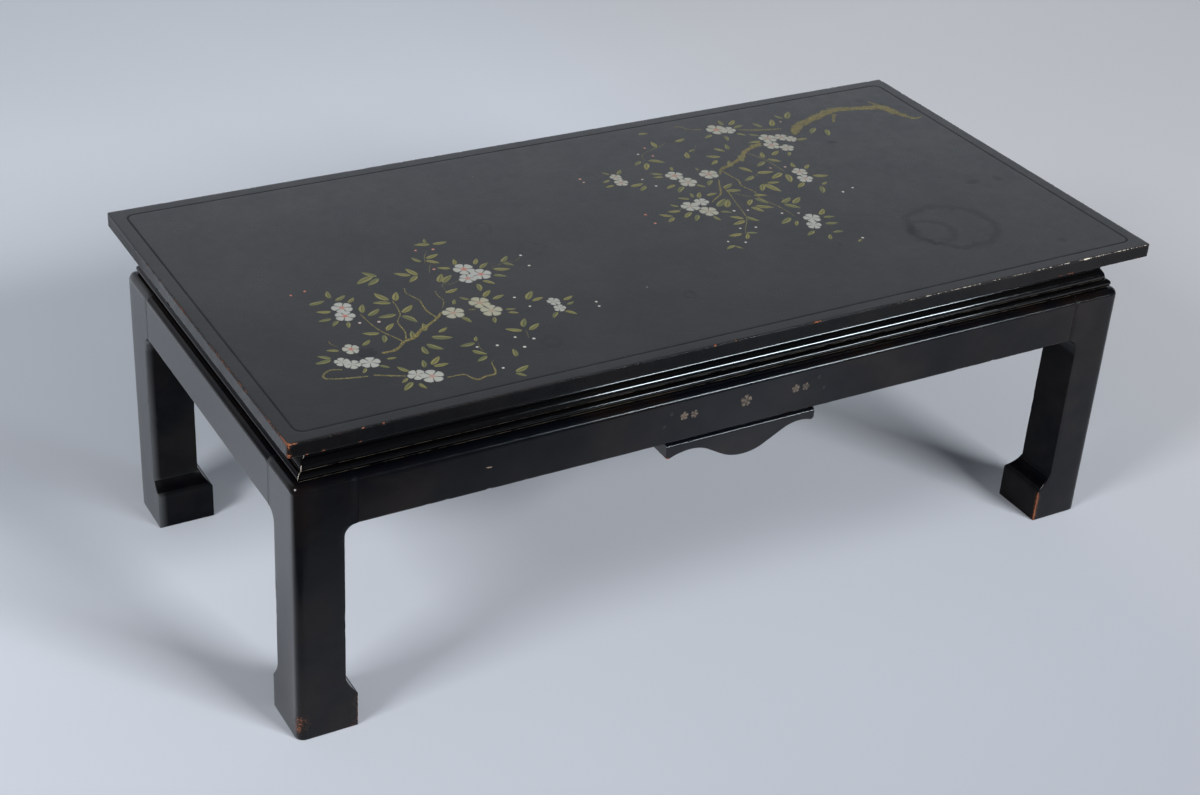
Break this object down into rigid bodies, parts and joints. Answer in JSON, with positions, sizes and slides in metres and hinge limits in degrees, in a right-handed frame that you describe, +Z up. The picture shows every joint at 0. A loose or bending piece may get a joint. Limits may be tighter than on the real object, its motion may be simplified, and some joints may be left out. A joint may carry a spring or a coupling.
{
  "type": "kang table",
  "caption": "Low black lacquered kang table: framed top with painted blossom sprays, waist, step moulding, aprons with ogee pendants and hoof feet.",
  "frame": {"origin": "on the floor, under the middle of the table", "axes": "+X along the length of the table, +Y from the front to the back, +Z up"},
  "size_m": [1.22, 0.61, 0.432],
  "materials": {
    "lacquer_top": "satin black lacquer with a cool grey sheen",
    "lacquer_gloss": "glossy black lacquer",
    "lacquer_satin": "satin black lacquer, slightly brown where it is thin",
    "bare_wood": "bare planed wood",
    "bamboo": "bare bamboo"
  },
  "bodies": {
    "root": {"top_panel": "lacquer_top", "top_rail_front": "lacquer_top", "top_rail_back": "lacquer_top", "top_stile_left": "lacquer_top", "top_stile_right": "lacquer_top", "batten_left": "bare_wood", "batten_middle": "bare_wood", "batten_right": "bare_wood", "waist_front": "lacquer_gloss", "waist_back": "lacquer_gloss", "waist_left": "lacquer_gloss", "waist_right": "lacquer_gloss", "moulding_front": "lacquer_gloss", "moulding_back": "lacquer_gloss", "moulding_left": "lacquer_gloss", "moulding_right": "lacquer_gloss", "moulding_pins": "bamboo", "apron_front": "lacquer_satin", "apron_back": "lacquer_satin", "apron_left": "lacquer_satin", "apron_right": "lacquer_satin", "pendant_front": "lacquer_satin", "pendant_back": "lacquer_satin", "leg_front_left": "lacquer_satin", "leg_front_right": "lacquer_satin", "leg_back_left": "lacquer_satin", "leg_back_right": "lacquer_satin"}
  },
  "joints": []
}
